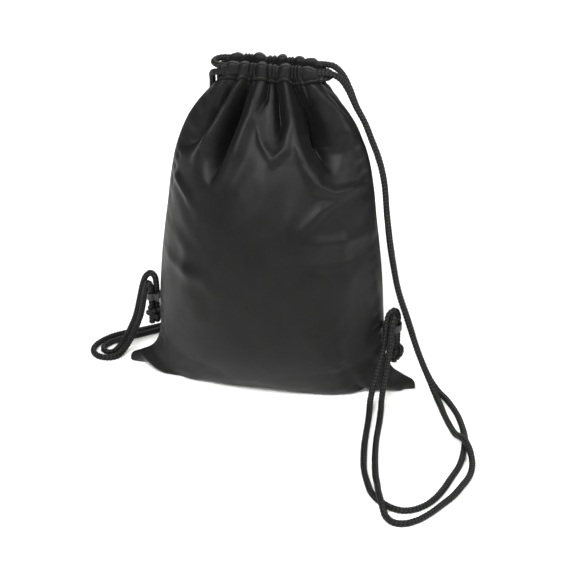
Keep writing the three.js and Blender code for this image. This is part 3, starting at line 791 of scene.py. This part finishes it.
def hem_sleeve(side):
    """The gathered tunnel for the cords, sewn from the top of the panel's own cloth."""
    a, climb = np.meshgrid(np.linspace(-1, 1, 260), np.linspace(0, 1, 40))
    points = hem_section(a, climb, side)
    faces = grid_faces(*a.shape)
    if side > 0:
        faces = [f[::-1] for f in faces]
    uvs = np.stack([a * FLAT_WIDTH / 2, FLAT_HEIGHT + climb * HEM_WRAP], -1).reshape(-1, 2)
    node_name = "front_hem" if side < 0 else "back_hem"
    made = mesh_object(f"{node_name}_sleeve", points.reshape(-1, 3), faces, CLOTH, uvs)
    thicken(made)
    attach(made, "bag", node_name)


def capsule_row(name, starts, ends, radius, material, sides=8):
    """A row of stitches: short rounded rods lying on the cloth."""
    points, faces = [], []
    turn = 2 * math.pi * np.arange(sides) / sides
    for a, b in zip(starts, ends):
        a, b = np.array(a), np.array(b)
        axis = (b - a) / np.linalg.norm(b - a)
        u = np.cross(axis, (0.3, 0.5, 0.81))
        u /= np.linalg.norm(u)
        w = np.cross(axis, u)
        base = len(points)
        for place, share in ((0, 0.35), (0.12, 0.85), (0.5, 1), (0.88, 0.85), (1, 0.35)):
            centre = a + (b - a) * place
            for t in turn:
                points.append(centre + radius * share * (math.cos(t) * u + math.sin(t) * w))
        faces += grid_faces(5, sides, wrap=True, start=base)
        faces.append(tuple(base + i for i in range(sides))[::-1])
        faces.append(tuple(base + 4 * sides + i for i in range(sides)))
    return mesh_object(name, points, faces, material)


def hem_stitching(side):
    """A row of running stitches near the lower edge of the hem; sizes as shares of its width."""
    pitch, length, height = 0.042, 0.033, 0.045
    across = np.arange(-0.97, 0.965, pitch)
    height = np.full_like(across, height)
    starts = hem_section(across, height, side)
    ends = hem_section(across + length, height, side)
    lift = np.array([0, side * 0.45 * MM, 0])
    word = "front" if side < 0 else "back"
    made = capsule_row(f"{word}_hem_stitches", starts + lift, ends + lift, 0.32 * MM, THREAD)
    attach(made, "bag", f"{word}_hem_stitching")


# ---- tapes --------------------------------------------------------------------------------
TAB_SPLIT = 0.75 * MM
TAB_WIDTH = 9 * MM
BINDING_WIDTH = 6 * MM
BINDING_THICKNESS = 0.9 * MM
BARTACK_REACH = 0.054


def ribbon(name, line, width_direction, width, thickness, material):
    """A woven tape along a line: a flat rounded section with slightly thicker edges."""
    tangent = np.gradient(line, axis=0)
    tangent /= np.linalg.norm(tangent, axis=1)[:, None]
    wide = np.broadcast_to(np.asarray(width_direction, float), line.shape)
    wide = wide - tangent * np.sum(wide * tangent, axis=1)[:, None]
    wide = wide / np.linalg.norm(wide, axis=1)[:, None]
    flat = np.cross(tangent, wide)
    half, deep = width / 2, thickness / 2
    section = [
        (-1, 0), (-0.97, 0.8), (-0.9, 1.0), (-0.8, 0.8), (-0.4, 0.85), (0, 0.8), (0.4, 0.85),
        (0.8, 0.8), (0.9, 1.0), (0.97, 0.8), (1, 0), (0.97, -0.8), (0.9, -1.0), (0.8, -0.8),
        (0.4, -0.85), (0, -0.8), (-0.4, -0.85), (-0.8, -0.8), (-0.9, -1.0), (-0.97, -0.8),
    ]
    rings = []
    for s, t in section:
        rings.append(line + wide * (s * half) + flat * (t * deep))
    points = np.stack(rings, 1).reshape(-1, 3)
    n = len(section)
    faces = grid_faces(len(line), n, wrap=True)
    faces.append(tuple(range(n))[::-1])
    faces.append(tuple(range(len(points) - n, len(points))))
    return mesh_object(name, points, faces, material)


def tab_loop(word):
    """Both ends of the tape are sewn in the side seam; its loop holds the cord."""
    tab = TABS[word]
    centre, root = np.array(tab["centre"]), np.array(tab["root"])
    reach = np.linalg.norm(centre - root)
    out = (centre - root) / reach
    side = np.array([-out[1], out[0]])
    hole_x, hole_y = 4.2 * MM + TAB_SPLIT, 8 * MM + TAB_SPLIT
    flat = []
    for x in np.linspace(-reach, -hole_x - 3 * MM, 6):
        flat.append((x, TAB_SPLIT))
    for angle in np.linspace(math.pi * 0.93, -math.pi * 0.93, 41):
        c, s = math.cos(angle), math.sin(angle)
        flat.append(
            (hole_x * math.copysign(abs(c) ** 0.8, c), hole_y * math.copysign(abs(s) ** 0.8, s))
        )
    for x in np.linspace(-hole_x - 3 * MM, -reach, 6):
        flat.append((x, -TAB_SPLIT))
    flat = np.array(flat)
    z = tab["low"] + TAB_WIDTH / 2
    line = np.column_stack(
        [
            centre[0] + flat[:, 0] * out[0] + flat[:, 1] * side[0],
            centre[1] + flat[:, 0] * out[1] + flat[:, 1] * side[1],
            np.full(len(flat), z),
        ]
    )
    line = even(spline(line, 4), 0.5 * MM)
    made = ribbon(f"{word}_tab_tape", line, (0, 0, 1), TAB_WIDTH, 1.2 * MM, TAPE)
    attach(made, "bag", f"{word}_tab")
    starts, ends = [], []
    for row in np.linspace(-3.4, 3.4, 15):
        for face in (-1, 1):
            base = root + out * 4.4 * MM + side * face * 1.75 * MM
            lean_z = z + row * MM
            starts.append((*(base - out * 1.1 * MM), lean_z))
            ends.append((*(base + out * 1.1 * MM), lean_z + 0.3 * MM))
    sewn = capsule_row(f"{word}_tab_stitches", starts, ends, 0.3 * MM, THREAD)
    attach(sewn, "bag", f"{word}_tab_bartack")


def side_binding(word, sign):
    v = np.linspace(0.24, 0.94, 120)
    edge_x, edge_z = along_line(seam_line, v, 0), along_line(seam_line, v, 1)
    line = np.stack([sign * (edge_x - 4.5 * MM) + shift(edge_z), lean(edge_z), edge_z], 1)
    made = ribbon(f"{word}_seam_tape", line, (1, 0, 0), BINDING_WIDTH, BINDING_THICKNESS, TAPE)
    attach(made, "bag", f"{word}_seam_binding")


def bottom_binding():
    x = np.linspace(-0.112, 0.112, 80)
    line = np.stack([x, 0 * x, 0.0058 + 0 * x], 1)
    made = ribbon("bottom_seam_tape", line, (0, 0, 1), BINDING_WIDTH, BINDING_THICKNESS, TAPE)
    attach(made, "bag", "bottom_seam_binding")


def mouth_bartack(word, sign):
    """Zigzag stitches that close one end of the mouth."""
    starts, ends = [], []
    x = MOUTH_SHIFT + sign * BARTACK_REACH
    for row in np.linspace(-3.8, 3.8, 17):
        starts.append((x - 2.2 * MM, MOUTH_LEAN + row * MM, 0.3805))
        ends.append((x + 2.2 * MM, MOUTH_LEAN + (row + 0.2) * MM, 0.3808))
    made = capsule_row(f"{word}_mouth_stitches", starts, ends, 0.35 * MM, THREAD)
    attach(made, "bag", f"{word}_mouth_bartack")


# ---- studio -------------------------------------------------------------------------------
def area_light(name, place, aim, size, power):
    data = bpy.data.lights.new(name, "AREA")
    data.shape = "RECTANGLE"
    data.size, data.size_y = size
    data.energy = power
    lamp = bpy.data.objects.new(name, data)
    bpy.context.scene.collection.objects.link(lamp)
    lamp.location = place
    lamp.rotation_euler = (Vector(aim) - Vector(place)).to_track_quat("-Z", "Y").to_euler()


def sky_light():
    """A pale band at the horizon that falls off upwards."""
    scene = bpy.context.scene
    world = bpy.data.worlds.new("studio")
    world.use_nodes = True
    sky = world.node_tree
    direction = node(sky, "ShaderNodeTexCoord")
    parts = node(sky, "ShaderNodeSeparateXYZ")
    link(sky, direction, "Generated", parts, "Vector")
    fade = ramp(sky, [(0.02, 0.6), (0.08, 0.3), (0.25, 0.08)])
    link(sky, parts, "Z", fade, "Fac")
    link(sky, fade, "Color", sky.nodes["Background"], "Color")
    sky.nodes["Background"].inputs["Strength"].default_value = 1.0
    scene.world = world
    scene.view_settings.view_transform = "Standard"


def white_floor():
    """A white floor that glows more with distance, so that it runs out to plain white."""
    size = 9.0
    corners = [(-size, -size, 0), (size, -size, 0), (size, size, 0), (-size, size, 0)]
    material, tree, shader = new_material("pale_floor")
    grain = node(tree, "ShaderNodeTexNoise", Scale=3.0, Detail=2.0)
    tone = ramp(tree, [(0.3, 0.93), (0.7, 0.95)])
    link(tree, grain, "Fac", tone, "Fac")
    link(tree, tone, "Color", shader, "Base Color")
    shader.inputs["Roughness"].default_value = 0.95
    shader.inputs["Specular IOR Level"].default_value = 0.1
    shader.inputs["Emission Color"].default_value = (1, 1, 1, 1)
    where = node(tree, "ShaderNodeTexCoord")
    far = node(tree, "ShaderNodeVectorMath", operation="LENGTH")
    tree.links.new(where.outputs["Object"], far.inputs[0])
    reach = node(tree, "ShaderNodeMapRange")
    tree.links.new(far.outputs["Value"], reach.inputs["Value"])
    for key, value in (("From Min", 0.8), ("From Max", 3.5), ("To Min", 0.15), ("To Max", 0.85)):
        reach.inputs[key].default_value = value
    tree.links.new(reach.outputs["Result"], shader.inputs["Emission Strength"])
    floor = mesh_object("floor", np.array(corners) - (0, 0, 0.0002), [(0, 1, 2, 3)], material)


def studio():
    sky_light()
    white_floor()
    area_light("left_softbox", (-1.7, -0.3, 1.1), (0, 0, 0.2), (1.2, 1.6), 3.0)
    area_light("right_softbox", (1.5, -0.5, 1.5), (0, 0, 0.25), (1.0, 1.2), 30)
    area_light("backdrop_light", (0, 3.2, 2.6), (0, 2.6, 0), (5.0, 3.0), 150)
    area_light("overhead", (-0.3, -1.6, 2.0), (0, 0, 0.28), (1.2, 0.7), 75)


def camera(azimuth=11.5, elevation=27.5, distance=2.4, lens=125, aim=(0.0165, 0, 0.131)):
    a, e = math.radians(azimuth), math.radians(elevation)
    look = Vector((-math.cos(e) * math.sin(a), math.cos(e) * math.cos(a), -math.sin(e)))
    data = bpy.data.cameras.new("camera")
    data.lens = lens
    data.sensor_width = 36
    made = bpy.data.objects.new("camera", data)
    bpy.context.scene.collection.objects.link(made)
    made.location = Vector(aim) - look * distance
    made.rotation_euler = look.to_track_quat("-Z", "Y").to_euler()
    bpy.context.scene.camera = made


camera()
studio()
knots = {
    word: tight_knot(
        f"{word}_knot_cord", f"{word}_knot", TABS[word], KNOT_HEIGHTS[word], f"{word}_knot"
    )
    for word in TABS
}
strand("right_front_cord", RIGHT_FRONT, "right_cord_front_strand")
strand("right_back_cord", RIGHT_BACK, "right_cord_back_strand")
strand("left_front_cord", LEFT_FRONT, "left_cord_front_strand")
strand("left_back_cord", LEFT_BACK, "left_cord_back_strand")
hem_run("right_hem_cord", "right_cord_hem_run", 1, CORD_HIGH)
hem_run("left_hem_cord", "left_cord_hem_run", -1, CORD_LOW)
front_and_back()
for side in (-1, 1):
    hem_sleeve(side)
    hem_stitching(side)
for word, sign in (("left", -1), ("right", 1)):
    tab_loop(word)
    side_binding(word, sign)
    mouth_bartack(word, sign)
bottom_binding()
